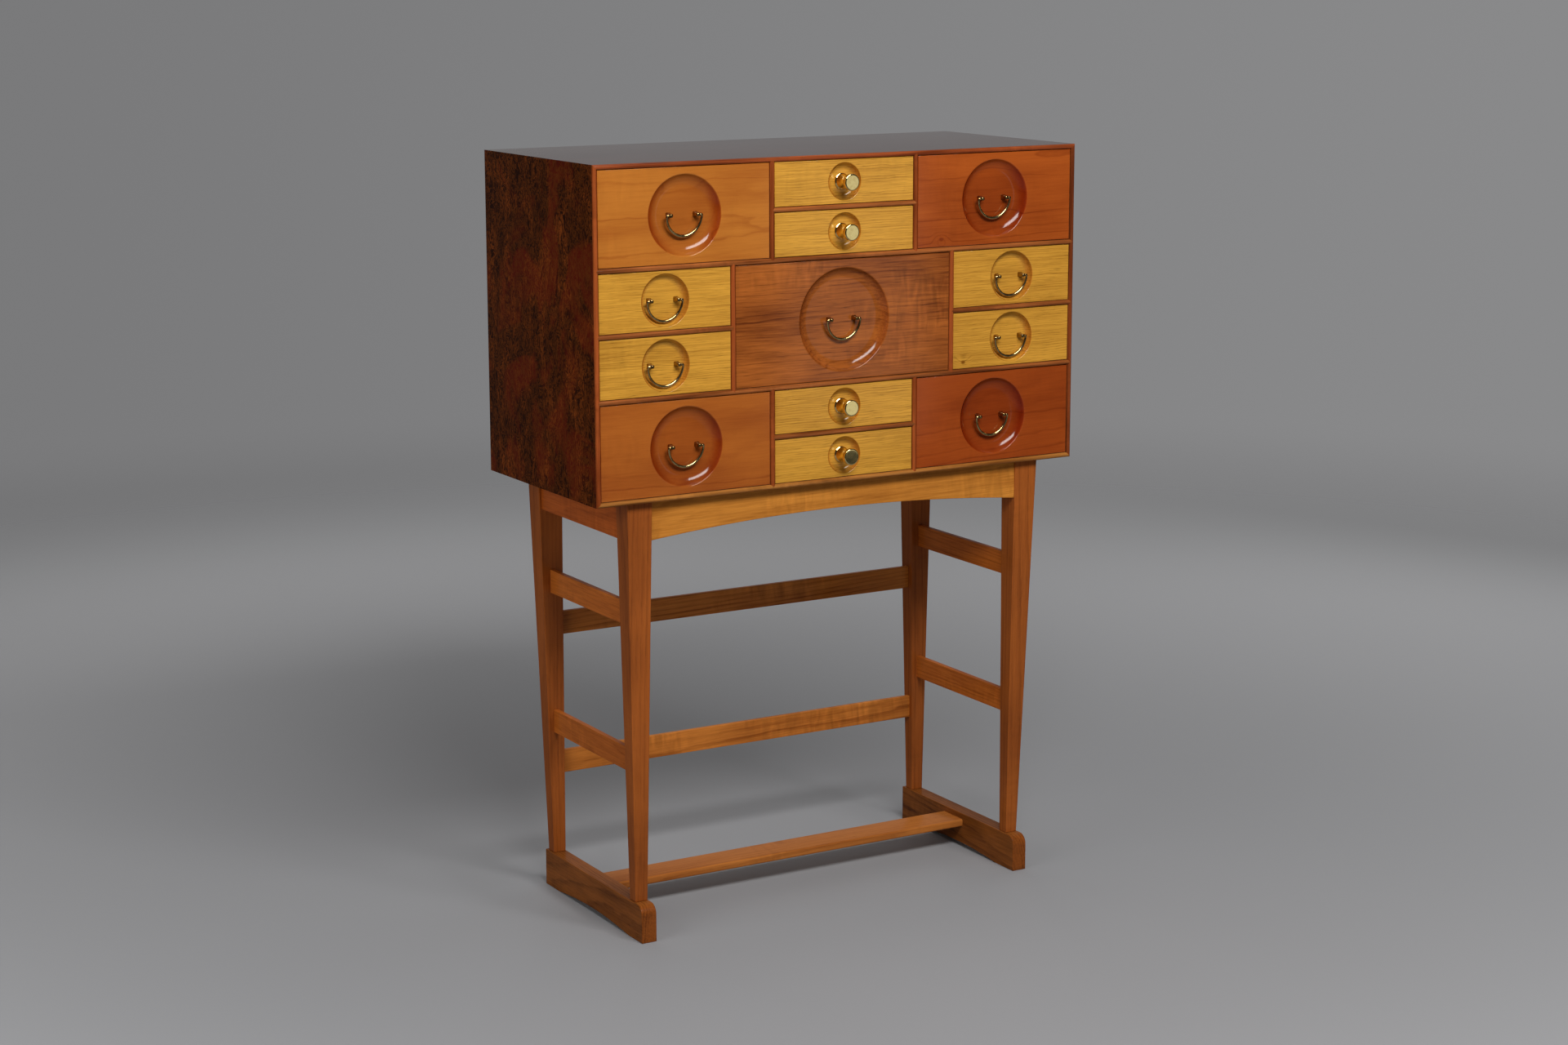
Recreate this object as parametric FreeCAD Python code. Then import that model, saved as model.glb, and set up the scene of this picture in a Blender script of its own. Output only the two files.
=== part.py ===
import FreeCAD, Part
import math
import os

# Chest of thirteen drawers on an open stand.
# Millimetres, +Z up, -Y towards the user. The origin is on the floor, at the
# middle of the width and of the depth, the knobs included.

V = FreeCAD.Vector
os.makedirs("parts", exist_ok=True)

# ------------------------------------------------------------ case
case_width = 880.0
case_depth = 384.2
case_height = 519.0
board = 7.7               # every case board and divider, so also the width of a bead
middle_row = 191.8        # clear height of the middle row; the outer rows share the rest
side_bay = 297.0          # clear width of the four corner drawers
small_bay = 227.6         # clear width of the small drawers beside the centre drawer
back_thickness = 6.0
back_set_in = 1.0         # the back lies this far inside the rear edges

# ------------------------------------------------------------ drawers
front_inset = 3.2         # drawer fronts lie this far behind the crest of the beads
front_thickness = 20.0
drawer_gap = 0.8          # round each front, and beside each box
glide_gap = 0.4           # between a drawer side and the board it runs on
head_room = 5.0           # above the sides of a box
side_thickness = 9.0
bottom_thickness = 4.0
bottom_height = 8.0       # underside of the bottom above the lower edge of the sides
groove = 4.0              # how far the bottom and the back enter the sides
rear_gap = 8.0            # between a box and the back of the case
tail_length = 11.0        # half-blind dovetails, from the back of the front
tail_pitch = 48.0         # about; a whole number of tails fills each side
tail_share = 0.62         # of the pitch, at the wide end of a tail
tail_slope = 1.0 / 7.0

# ------------------------------------------------------------ turned dishes in the fronts
# radius of the rim, depth, width of the coved wall between rim and floor
dishes = {
    "corner": (62.6, 11.0, 20.0),
    "centre": (81.9, 11.0, 18.0),
    "small": (40.5, 10.5, 11.5),
    "knob": (29.2, 10.5, 11.5),
}
dish_flats = {"corner": 40, "centre": 44, "small": 32, "knob": 24}
overcut = 1.0             # how far a cutting tool passes the face it enters

# ------------------------------------------------------------ bail handles
bail_half_width = 33.0    # middle of the handle to the outside of the bow
bail_drop = 35.4          # pivot to the outside of the bow's bottom
bail_rest = 8.0           # degrees that the hanging bow leans in towards the dish
bar = 5.4                 # thickness of the bow, across the corners of its flats
bar_flats = 6
bow_spans = 8             # straight lengths in the round of the bow
bow_bend = 2.4            # each end of the bow turns in over this far, on a slope
bow_return = 1.2          # then runs on towards its post this far
pin = 3.0                 # thickness across its corners
pin_play = 0.05           # between its corners and the flats of the bore in a post
bore_flats = 8
pivot_height = 9.5        # above the floor of the dish
post_base = 8.4           # width of a post where it stands on the dish
post_head = 6.2           # width of its head
post_neck = 5.6           # height of the tapered foot
post_crown = 1.0          # slope round the tip
knuckle_gap = 0.4         # between a post's head and the end of the bow

# ------------------------------------------------------------ knobs
knob_flats = 16
knob_length = 33.5        # from the floor of the dish to the face of the cap
knob_flange = (12.8, 1.8)      # radius and thickness
knob_shoulder = (9.0, 5.4)     # radius and height, where the waist begins
knob_waist = (6.8, 11.5, 19.0)  # radius, and heights between which it is straight
knob_cap = (13.2, 26.0)        # radius, and height of its lower edge
knob_cap_slope = 1.0      # round the face of the cap

# ------------------------------------------------------------ stand
stand_height = 706.6
leg_top = (43.0, 39.8)    # section under the case, along X and Y
leg_foot = (21.5, 20.0)   # section on the runner
leg_set_in = (58.5, 14.6) # outer faces of a leg's top, in from the case
foot_set_in = (75.3, 35.3)
runner_width = 26.0
runner_height = 60.6
runner_front = 25.3       # beyond the feet of the front legs
runner_back = 8.0         # beyond the feet of the back legs
runner_nose = 16.0        # radius of the upper front corner
runner_arch = 7.5         # rise of the hollow under a runner
runner_pad = 50.0         # length that stands on the floor at each end
apron_thickness = 20.0
apron_height = 62.5
apron_arch = 18.0         # rise of the curve under the front and back aprons
apron_set_in = (5.3, 3.4) # behind the outer faces of the legs, along X and Y
tenon_thickness = 8.0
tenon_length = 16.0
tenon_shoulder = 10.0     # above and below a tenon
stretcher_height = 38.5
stretcher_thickness = 9.0
stretcher_entry = 8.0     # how far a stretcher is let into a leg
side_stretchers = (286.5, 523.0)   # heights of their middles
rear_stretchers = (213.0, 448.0)
floor_board_depth = 60.0
floor_board_thickness = 13.0
floor_board_top = 50.5
floor_board_front = 163.5  # from the crest of the case's front beads
floor_board_round = 3.0
floor_board_entry = 6.0   # how far it is let into each runner

# ------------------------------------------------------------ derived places
bead_radius = board / 2.0
knob_reach = knob_length - dishes["knob"][1] - front_inset
front_y = (knob_reach - case_depth) / 2.0
back_y = front_y + case_depth
root_y = front_y + bead_radius
panel_y = back_y - back_set_in - back_thickness
half = case_width / 2.0
inner = half - board
floor_z = stand_height
roof_z = stand_height + case_height
low_z = floor_z + board
high_z = roof_z - board
middle_z = (low_z + high_z) / 2.0
low_rail = middle_z - (middle_row + board) / 2.0
high_rail = middle_z + (middle_row + board) / 2.0
outer_upright = inner - side_bay - board / 2.0
mid_upright = inner - small_bay - board / 2.0
face_y = front_y + front_inset


def export(name, solids):
    """Write the solids of one node."""
    shape = solids[0] if len(solids) == 1 else Part.makeCompound(solids)
    shape.exportStep("parts/" + name + ".step")


def prism(outline, y0, y1):
    """Straight block with an outline of (x, z) points, from y0 to y1."""
    wire = Part.makePolygon([V(x, y0, z) for x, z in outline + outline[:1]])
    return Part.Face(wire).extrude(V(0, y1 - y0, 0))


def block(x0, x1, y0, y1, z0, z1):
    return Part.makeBox(x1 - x0, y1 - y0, z1 - z0, V(x0, y0, z0))


# ------------------------------------------------------------ case boards and dividers
# Each board carries a half-round bead on its front edge. Where one board meets
# another, its bead ends in a point that fits a notch in the bead it meets, as
# two equal half-rounds meet on 45 degree planes.

def beaded(outline, outline_behind, centre, level, rear):
    """Board with a half-round front edge; level boards run along X, others along Z."""
    reach = case_width + case_height
    if level:
        rod = Part.makeCylinder(bead_radius, 2 * reach, V(-reach, root_y, centre), V(1, 0, 0))
    else:
        rod = Part.makeCylinder(bead_radius, 2 * reach, V(centre, root_y, -reach), V(0, 0, 1))
    bead = prism(outline, front_y, root_y).common(rod)
    return bead.fuse(prism(outline_behind, root_y, rear)).removeSplitter()


def point_at(x, z, dx, dz):
    """Triangle from a board's face to its middle line, entering along (dx, dz)."""
    r = bead_radius
    corners = [(x + dx * r, z + dz * r)]
    corners.append((x + dz * r, z + dx * r))
    corners.append((x - dz * r, z - dx * r))
    return corners


def notch(x, z, dx, dz):
    return prism(point_at(x, z, dx, dz), front_y - overcut, root_y)


def level_divider(x0, x1, z):
    r = bead_radius
    points = [(x0, z - r), (x1, z - r), (x1 + r, z), (x1, z + r), (x0, z + r), (x0 - r, z)]
    behind = [(x0, z - r), (x1, z - r), (x1, z + r), (x0, z + r)]
    return beaded(points, behind, z, True, panel_y)


def upright_divider(x, z0, z1):
    r = bead_radius
    points = [(x - r, z0), (x, z0 - r), (x + r, z0), (x + r, z1), (x, z1 + r), (x - r, z1)]
    behind = [(x - r, z0), (x + r, z0), (x + r, z1), (x - r, z1)]
    return beaded(points, behind, x, False, panel_y)


def cut_all(solid, tools):
    for tool in tools:
        solid = solid.cut(tool)
    return solid


# Four outer boards, mitred at the corners and rebated for the back.
top_outline = [(-half, roof_z), (half, roof_z), (inner, high_z), (-inner, high_z)]
bottom_outline = [(-inner, low_z), (inner, low_z), (half, floor_z), (-half, floor_z)]
left_outline = [(-half, floor_z), (-inner, low_z), (-inner, high_z), (-half, roof_z)]
right_outline = [(-x, z) for x, z in left_outline]
case_top = beaded(top_outline, top_outline, roof_z - bead_radius, True, back_y)
case_bottom = beaded(bottom_outline, bottom_outline, floor_z + bead_radius, True, back_y)
case_left = beaded(left_outline, left_outline, -half + bead_radius, False, back_y)
case_right = beaded(right_outline, right_outline, half - bead_radius, False, back_y)

rail_low = level_divider(-inner, inner, low_rail)
rail_high = level_divider(-inner, inner, high_rail)
row_low = (low_z, low_rail - board / 2.0)
row_mid = (low_rail + board / 2.0, high_rail - board / 2.0)
row_high = (high_rail + board / 2.0, high_z)
split_low = sum(row_low) / 2.0
split_mid = sum(row_mid) / 2.0
split_high = sum(row_high) / 2.0
outer_face = outer_upright - board / 2.0
mid_face = mid_upright + board / 2.0

export("case_top", [cut_all(case_top, [
    notch(x, high_z, 0, 1) for x in (-outer_upright, outer_upright)])])
export("case_bottom", [cut_all(case_bottom, [
    notch(x, low_z, 0, -1) for x in (-outer_upright, outer_upright)])])
side_joints = (low_rail, split_mid, high_rail)
export("case_side_left", [cut_all(case_left, [notch(-inner, z, -1, 0) for z in side_joints])])
export("case_side_right", [cut_all(case_right, [notch(inner, z, 1, 0) for z in side_joints])])
export("case_back", [block(-inner, inner, panel_y, panel_y + back_thickness, low_z, high_z)])

low_cuts = [notch(x, row_low[1], 0, 1) for x in (-outer_upright, outer_upright)]
low_cuts += [notch(x, row_mid[0], 0, -1) for x in (-mid_upright, mid_upright)]
high_cuts = [notch(x, row_mid[1], 0, 1) for x in (-mid_upright, mid_upright)]
high_cuts += [notch(x, row_high[0], 0, -1) for x in (-outer_upright, outer_upright)]
export("long_rails", [cut_all(rail_low, low_cuts), cut_all(rail_high, high_cuts)])

dividers = []
for side in (-1, 1):
    x = side * outer_upright
    for row, split in ((row_low, split_low), (row_high, split_high)):
        upright = upright_divider(x, *row)
        dividers.append(upright.cut(notch(x - side * bead_radius, split, side, 0)))
    x = side * mid_upright
    upright = upright_divider(x, *row_mid)
    dividers.append(upright.cut(notch(x + side * bead_radius, split_mid, -side, 0)))
    ends = sorted((side * mid_face, side * inner))
    dividers.append(level_divider(ends[0], ends[1], split_mid))
for split in (split_low, split_high):
    dividers.append(level_divider(-outer_face, outer_face, split))
export("dividers", dividers)

# ------------------------------------------------------------ bays
# name of the drawer: kind of dish, then the clear opening x0, x1, z0, z1
half_board = board / 2.0
bays = {}
for column, side in (("left", -1), ("right", 1)):
    x0, x1 = sorted((side * (outer_upright + half_board), side * inner))
    bays["bottom_" + column] = ("corner", x0, x1, *row_low)
    bays["top_" + column] = ("corner", x0, x1, *row_high)
    x0, x1 = sorted((side * mid_face, side * inner))
    bays["middle_" + column + "_lower"] = ("small", x0, x1, row_mid[0], split_mid - half_board)
    bays["middle_" + column + "_upper"] = ("small", x0, x1, split_mid + half_board, row_mid[1])
for row, bounds, split in (("bottom", row_low, split_low), ("top", row_high, split_high)):
    bays[row + "_centre_lower"] = ("knob", -outer_face, outer_face, bounds[0], split - half_board)
    bays[row + "_centre_upper"] = ("knob", -outer_face, outer_face, split + half_board, bounds[1])
clear_mid = mid_upright - half_board
bays["centre"] = ("centre", -clear_mid, clear_mid, *row_mid)


# ------------------------------------------------------------ turned shapes, drawn with flats
def flats(centre, radius, count, first, second):
    """Corners of an outline with equal flats, in the plane of two directions."""
    corners = []
    for i in range(count):
        angle = 2.0 * math.pi * (i + 0.5) / count
        corners.append(centre + first * (radius * math.cos(angle)) + second * (radius * math.sin(angle)))
    return corners


def stack(rings):
    """Solid through a row of outlines with as many corners each; every wall is flat."""
    def face(corners):
        return Part.Face(Part.makePolygon(corners + corners[:1]))

    faces = [face(rings[0]), face(rings[-1])]
    for lower, upper in zip(rings, rings[1:]):
        for i in range(len(lower)):
            faces.append(face([lower[i - 1], lower[i], upper[i], upper[i - 1]]))
    return Part.makeSolid(Part.makeShell(faces))


def standing(profile, count, x, z, floor_y):
    """Flat-sided solid that stands out from a dish's floor; the profile is (radius, height)."""
    rings = []
    for radius, height in profile:
        rings.append(flats(V(x, floor_y - height, z), radius, count, V(1, 0, 0), V(0, 0, 1)))
    return stack(rings)


# ------------------------------------------------------------ drawers
def dish_tool(kind, x, z):
    """What is turned out of a front: a flat floor inside a cove cut in two slopes."""
    rim, depth, wall = dishes[kind]
    floor = rim - wall
    cove = (wall ** 2 + depth ** 2) / (2.0 * depth)
    half_angle = math.atan2(wall, cove - depth) / 2.0
    middle = (floor + cove * math.sin(half_angle), cove * (1.0 - math.cos(half_angle)))
    profile = [(floor, 0.0), middle, (rim, depth), (rim, depth + overcut)]
    return standing(profile, dish_flats[kind], x, z, face_y + depth)


def drawer_side(x0, x1, z0, z1, join_y, end_y):
    """Side of a box: a board whose front end is cut to a row of dovetails."""
    count = max(2, round((z1 - z0) / tail_pitch))
    pitch = (z1 - z0) / count
    wide = pitch * tail_share / 2.0
    narrow = wide - tail_length * tail_slope
    outline = [(end_y, z0), (join_y, z0)]
    for i in range(count):
        middle = z0 + (i + 0.5) * pitch
        outline += [(join_y, middle - narrow), (join_y - tail_length, middle - wide)]
        outline += [(join_y - tail_length, middle + wide), (join_y, middle + narrow)]
    outline += [(join_y, z1), (end_y, z1)]
    wire = Part.makePolygon([V(x0, y, z) for y, z in outline + outline[:1]])
    return Part.Face(wire).extrude(V(x1 - x0, 0, 0))


def make_drawer(name, kind, x0, x1, z0, z1):
    """Front and box of one drawer, joined by dovetails, with the bottom let into grooves."""
    left, right = x0 + drawer_gap, x1 - drawer_gap
    join_y = face_y + front_thickness
    end_y = panel_y - rear_gap
    foot, head = z0 + glide_gap, z1 - head_room
    front = block(left, right, face_y, join_y, z0 + drawer_gap, z1 - drawer_gap)
    front = front.cut(dish_tool(kind, (x0 + x1) / 2.0, (z0 + z1) / 2.0))
    sides = [
        drawer_side(left, left + side_thickness, foot, head, join_y, end_y),
        drawer_side(right - side_thickness, right, foot, head, join_y, end_y),
    ]
    inside = (left + side_thickness - groove, right - side_thickness + groove)
    floor = foot + bottom_height
    bottom = block(*inside, join_y - groove, end_y, floor, floor + bottom_thickness)
    back = block(*inside, end_y - 2 * side_thickness, end_y - side_thickness,
                 floor + bottom_thickness, head)
    front = cut_all(front, sides + [bottom])
    sides = [cut_all(side, [bottom, back]) for side in sides]
    export("front_" + name, [front])
    export("box_" + name, sides + [back, bottom])


# ------------------------------------------------------------ bails, posts and knobs
bow_radius = bail_half_width - bar / 2.0
bow_middle = bail_drop - bar / 2.0
bow_end = bow_radius - bow_bend - bow_return
post_x = bow_end - knuckle_gap - post_head / 2.0


def bow(x, y, z):
    """The bow of a bail: one bar along an oval, its ends turned in towards the posts."""
    path = [V(x - bow_end, y, z), V(x - bow_end - bow_return, y, z)]
    path.append(V(x - bow_radius, y, z - bow_bend))
    for i in range(1, bow_spans):
        turn = math.pi * i / bow_spans
        path.append(V(x - bow_radius * math.cos(turn), y, z - bow_middle * math.sin(turn)))
    path.append(V(x + bow_radius, y, z - bow_bend))
    path += [V(x + bow_end + bow_return, y, z), V(x + bow_end, y, z)]
    sweep = Part.BRepOffsetAPI.MakePipeShell(Part.makePolygon(path))
    sweep.setTransitionMode(1)
    section = flats(path[0], bar / 2.0, bar_flats, V(0, 1, 0), V(0, 0, 1))
    sweep.add(Part.makePolygon(section + section[:1]))
    sweep.build()
    sweep.makeSolid()
    return sweep.shape()


def rod(x, y, z, side, reaches, radius, count):
    """Flat-sided rod along X, between two distances from the middle of a handle."""
    rings = []
    for reach in sorted(side * reach for reach in reaches):
        rings.append(flats(V(x + reach, y, z), radius, count, V(0, 1, 0), V(0, 0, 1)))
    return stack(rings)


def make_bail(name, kind, x, z):
    """Two posts on the floor of a dish, and the bail that swings between them."""
    floor_y = face_y + dishes[kind][1]
    pivot_y = floor_y - pivot_height
    tip = pivot_height + post_head / 2.0
    corner = math.sqrt(0.5)
    profile = [
        (post_base * corner, 0.0), (post_head * corner, post_neck),
        (post_head * corner, tip - post_crown), ((post_head - 2 * post_crown) * corner, tip),
    ]
    bail = bow(x, pivot_y, z)
    posts = []
    for side in (-1, 1):
        post = standing(profile, 4, x + side * post_x, z, floor_y)
        bore = (pin / 2.0 + pin_play) / math.cos(math.pi / bore_flats)
        posts.append(post.cut(rod(x, pivot_y, z, side, (post_x - post_head, post_x + post_head),
                                  bore, bore_flats)))
        bail = bail.fuse(rod(x, pivot_y, z, side, (post_x, bow_end), pin / 2.0, bar_flats))
    bail.rotate(V(x, pivot_y, z), V(1, 0, 0), bail_rest)
    export("posts_" + name, posts)
    export("bail_" + name, [bail])


def make_knob(name, kind, x, z):
    """Flange, rounded shoulder, waist and broad flat cap."""
    flange_radius, flange_top = knob_flange
    waist_radius, waist_start, waist_end = knob_waist
    cap_radius, cap_start = knob_cap
    profile = [
        (flange_radius, 0.0), (flange_radius, flange_top), knob_shoulder,
        (waist_radius, waist_start), (waist_radius, waist_end),
        (cap_radius, cap_start), (cap_radius, knob_length - knob_cap_slope),
        (cap_radius - knob_cap_slope, knob_length),
    ]
    export("knob_" + name, [standing(profile, knob_flats, x, z, face_y + dishes[kind][1])])


for name, (kind, x0, x1, z0, z1) in bays.items():
    make_drawer(name, kind, x0, x1, z0, z1)
    make_handle = make_knob if kind == "knob" else make_bail
    make_handle(name, kind, (x0 + x1) / 2.0, (z0 + z1) / 2.0)

# ------------------------------------------------------------ stand: runners and legs
def leg_section(z):
    """The front right leg's section at a height, as x0, x1, y0, y1: straight tapers."""
    share = (z - runner_height) / (stand_height - runner_height)
    section = []
    for axis, wall, inward in ((0, half, -1), (1, front_y, 1)):
        inset = foot_set_in[axis] + share * (leg_set_in[axis] - foot_set_in[axis])
        size = leg_foot[axis] + share * (leg_top[axis] - leg_foot[axis])
        outer = wall + inward * inset
        section += sorted((outer, outer + inward * size))
    return section


def leg_middle(z):
    x0, x1, y0, y1 = leg_section(z)
    return (x0 + x1) / 2.0, (y0 + y1) / 2.0


def mirrored(rectangle, side, end):
    """A front right leg's rectangle, moved to one of the four corners."""
    x0, x1, y0, y1 = rectangle
    if side < 0:
        x0, x1 = -x1, -x0
    if end > 0:
        y0, y1 = front_y + back_y - y1, front_y + back_y - y0
    return x0, x1, y0, y1


def ring(rectangle, z):
    x0, x1, y0, y1 = rectangle
    return [V(x0, y0, z), V(x1, y0, z), V(x1, y1, z), V(x0, y1, z)]


legs = []
for side in (-1, 1):
    for end in (-1, 1):
        rings = [ring(mirrored(leg_section(z), side, end), z) for z in (runner_height, stand_height)]
        legs.append(stack(rings))

runner_x = leg_middle(runner_height)[0]


def make_runner(side):
    """Runner: rounded nose, square heel, and a long hollow underneath."""
    x = side * runner_x - runner_width / 2.0
    leg_front = leg_section(runner_height)[2]
    start = leg_front - runner_front
    end = front_y + back_y - leg_front + runner_back
    top = runner_height
    nose = runner_nose * (1.0 - math.sqrt(0.5))
    middle = (start + end) / 2.0
    points = {
        "heel": V(x, end, 0), "heel_top": V(x, end, top), "nose_top": V(x, start + runner_nose, top),
        "nose_mid": V(x, start + nose, top - nose), "nose": V(x, start, top - runner_nose),
        "toe": V(x, start, 0), "toe_back": V(x, start + runner_pad, 0),
        "arch": V(x, middle, runner_arch), "heel_front": V(x, end - runner_pad, 0),
    }
    p = points
    edges = [
        Part.LineSegment(p["heel"], p["heel_top"]), Part.LineSegment(p["heel_top"], p["nose_top"]),
        Part.Arc(p["nose_top"], p["nose_mid"], p["nose"]), Part.LineSegment(p["nose"], p["toe"]),
        Part.LineSegment(p["toe"], p["toe_back"]),
        Part.Arc(p["toe_back"], p["arch"], p["heel_front"]),
        Part.LineSegment(p["heel_front"], p["heel"]),
    ]
    face = Part.Face(Part.Wire([edge.toShape() for edge in edges]))
    return face.extrude(V(runner_width, 0, 0))


runners = {side: make_runner(side) for side in (-1, 1)}

# Flat board between the runners, let a little way into each.
board_end = runner_x - runner_width / 2.0 + floor_board_entry
board_y = front_y + floor_board_front
floor_board = block(-board_end, board_end, board_y, board_y + floor_board_depth,
                    floor_board_top - floor_board_thickness, floor_board_top)
long_edges = [edge for edge in floor_board.Edges if edge.Length > board_end]
floor_board = floor_board.makeFillet(floor_board_round, long_edges)
export("floor_stretcher", [floor_board])
export("runners", [runner.cut(floor_board) for runner in runners.values()])

# ------------------------------------------------------------ stand: aprons
leg_x, leg_y = leg_middle(stand_height)
leg_inside, _, _, leg_behind = leg_section(stand_height)
apron_low = floor_z - apron_height
outer_x = half - leg_set_in[0] - apron_set_in[0]
outer_y = front_y + leg_set_in[1] + apron_set_in[1]
tenon_z = (apron_low + tenon_shoulder, floor_z - tenon_shoulder)


def wide_apron(end):
    """Front or back apron, with a long curve along its lower edge, and its two tenons."""
    y0 = outer_y if end < 0 else front_y + back_y - outer_y - apron_thickness
    outline = [V(-leg_inside, y0, apron_low), V(-leg_x, y0, apron_low), V(-leg_x, y0, floor_z),
               V(leg_x, y0, floor_z), V(leg_x, y0, apron_low), V(leg_inside, y0, apron_low)]
    arch = Part.Arc(outline[-1], V(0, y0, apron_low + apron_arch), outline[0])
    edges = [Part.LineSegment(a, b).toShape() for a, b in zip(outline, outline[1:])]
    body = Part.Face(Part.Wire(edges + [arch.toShape()])).extrude(V(0, apron_thickness, 0))
    body = cut_all(body, legs)
    middle = y0 + apron_thickness / 2.0
    span_y = (middle - tenon_thickness / 2.0, middle + tenon_thickness / 2.0)
    tenons = []
    for side in (-1, 1):
        span_x = sorted((side * (leg_inside - tenon_length), side * (leg_inside + tenon_length)))
        tenons.append(block(*span_x, *span_y, *tenon_z))
    return body, tenons


def side_apron(side):
    """Straight apron between a front and a back leg, and its two tenons."""
    x0, x1 = sorted((side * outer_x, side * (outer_x - apron_thickness)))
    body = cut_all(block(x0, x1, leg_y, front_y + back_y - leg_y, apron_low, floor_z), legs)
    middle = (x0 + x1) / 2.0
    span_x = (middle - tenon_thickness / 2.0, middle + tenon_thickness / 2.0)
    start = leg_behind - tenon_length
    end = front_y + back_y - start
    tenons = [block(*span_x, start, start + 2 * tenon_length, *tenon_z)]
    tenons.append(block(*span_x, end - 2 * tenon_length, end, *tenon_z))
    return body, tenons


# The tenons of the side aprons are cut back where they would meet those of the wide ones.
wide = [wide_apron(end) for end in (-1, 1)]
wide_tenons = [tenon for body, tenons in wide for tenon in tenons]
aprons = []
for body, tenons in wide:
    aprons.append(body.fuse(tenons).removeSplitter())
for body, tenons in [side_apron(side) for side in (-1, 1)]:
    aprons.append(body.fuse([cut_all(tenon, wide_tenons) for tenon in tenons]).removeSplitter())
export("aprons", aprons)

# ------------------------------------------------------------ stand: stretchers
def stretcher(x0, x1, y0, y1, middle_z):
    return block(x0, x1, y0, y1, middle_z - stretcher_height / 2.0,
                 middle_z + stretcher_height / 2.0)


stretchers = []
for z in side_stretchers:
    y0 = leg_section(z)[3] - stretcher_entry
    for side in (-1, 1):
        x = side * leg_middle(z)[0]
        stretchers.append(stretcher(x - stretcher_thickness / 2.0, x + stretcher_thickness / 2.0,
                                    y0, front_y + back_y - y0, z))
for z in rear_stretchers:
    x1 = leg_section(z)[0] + stretcher_entry
    y = front_y + back_y - leg_middle(z)[1]
    stretchers.append(stretcher(-x1, x1, y - stretcher_thickness / 2.0,
                                y + stretcher_thickness / 2.0, z))
export("stretchers", stretchers)
export("legs", [cut_all(leg, aprons + stretchers) for leg in legs])
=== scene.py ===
import math
import bmesh
import bpy
from mathutils import Matrix, Vector


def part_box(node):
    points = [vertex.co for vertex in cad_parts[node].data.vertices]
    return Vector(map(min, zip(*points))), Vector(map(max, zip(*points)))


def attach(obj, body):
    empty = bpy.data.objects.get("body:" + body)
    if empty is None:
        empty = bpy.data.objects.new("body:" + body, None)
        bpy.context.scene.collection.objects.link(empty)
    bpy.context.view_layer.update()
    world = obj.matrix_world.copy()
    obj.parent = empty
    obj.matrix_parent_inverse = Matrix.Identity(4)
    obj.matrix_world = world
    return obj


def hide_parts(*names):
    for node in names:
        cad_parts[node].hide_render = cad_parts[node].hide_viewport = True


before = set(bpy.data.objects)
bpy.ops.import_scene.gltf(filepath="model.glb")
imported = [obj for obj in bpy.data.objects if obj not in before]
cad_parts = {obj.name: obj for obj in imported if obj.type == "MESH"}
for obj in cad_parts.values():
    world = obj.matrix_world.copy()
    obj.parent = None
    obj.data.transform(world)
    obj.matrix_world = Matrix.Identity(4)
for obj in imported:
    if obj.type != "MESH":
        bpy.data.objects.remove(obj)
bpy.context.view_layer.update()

# ------------------------------------------------------------ runners
# Two runners of solid walnut-brown wood carry the stand. Each is sawn from one
# plank, its upper front corner rounded and its underside hollowed between two pads.


def wire(tree, socket, value):
    """Join a socket to another, or set it to a plain value."""
    if isinstance(value, bpy.types.NodeSocket):
        tree.links.new(value, socket)
    elif value is not None:
        socket.default_value = value


def place(tree, kind, *values, **settings):
    """Add a node; values fill its first inputs in order, settings its named inputs or options."""
    node = tree.nodes.new(kind)
    for name, value in settings.items():
        if not name[0].isupper():
            setattr(node, name, value)
    for name, value in settings.items():
        if name[0].isupper():
            wire(tree, node.inputs[name.replace("_", " ")], value)
    for socket, value in zip(node.inputs, values):
        wire(tree, socket, value)
    return node


def work(tree, operation, a, b=None):
    """Result of one step of arithmetic."""
    return place(tree, "ShaderNodeMath", a, b, operation=operation).outputs[0]


def stretch(tree, vector, x, y, z):
    """The same place, measured in units that differ along and across the grain."""
    return place(tree, "ShaderNodeVectorMath", vector, (x, y, z), operation="MULTIPLY").outputs[0]


def noise(tree, vector, detail=2.0, roughness=0.5, distortion=0.0):
    """Random value that changes softly over one unit of the place."""
    return place(tree, "ShaderNodeTexNoise", Vector=vector, Scale=1.0, Detail=detail,
                 Roughness=roughness, Distortion=distortion).outputs["Fac"]


def between(tree, value, low, high):
    """0 at low, 1 at high, and a soft rise between them."""
    return place(tree, "ShaderNodeMapRange", value, low, high, 0.0, 1.0,
                 interpolation_type="SMOOTHSTEP").outputs[0]


def shade(tree, factor, first, second, how="MIX"):
    """Second colour laid over the first."""
    node = tree.nodes.new("ShaderNodeMix")
    node.data_type, node.blend_type = "RGBA", how
    for socket, value in zip((node.inputs[0], node.inputs[6], node.inputs[7]), (factor, first, second)):
        wire(tree, socket, value)
    return node.outputs[2]


def new_group(name, inputs, outputs, kind_of_tree="ShaderNodeTree"):
    """Empty node group with named sockets; its input values and the socket that takes each output."""
    tree = bpy.data.node_groups.new(name, kind_of_tree)
    kinds = {"value": "NodeSocketFloat", "colour": "NodeSocketColor", "place": "NodeSocketVector",
             "shape": "NodeSocketGeometry", "finish": "NodeSocketMaterial"}
    for label, kind, value in inputs:
        socket = tree.interface.new_socket(label, in_out="INPUT", socket_type=kinds[kind])
        if value is not None:
            socket.default_value = value
    for label, kind in outputs:
        tree.interface.new_socket(label, in_out="OUTPUT", socket_type=kinds[kind])
    start, end = tree.nodes.new("NodeGroupInput"), tree.nodes.new("NodeGroupOutput")
    return tree, start.outputs, end.inputs


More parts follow.
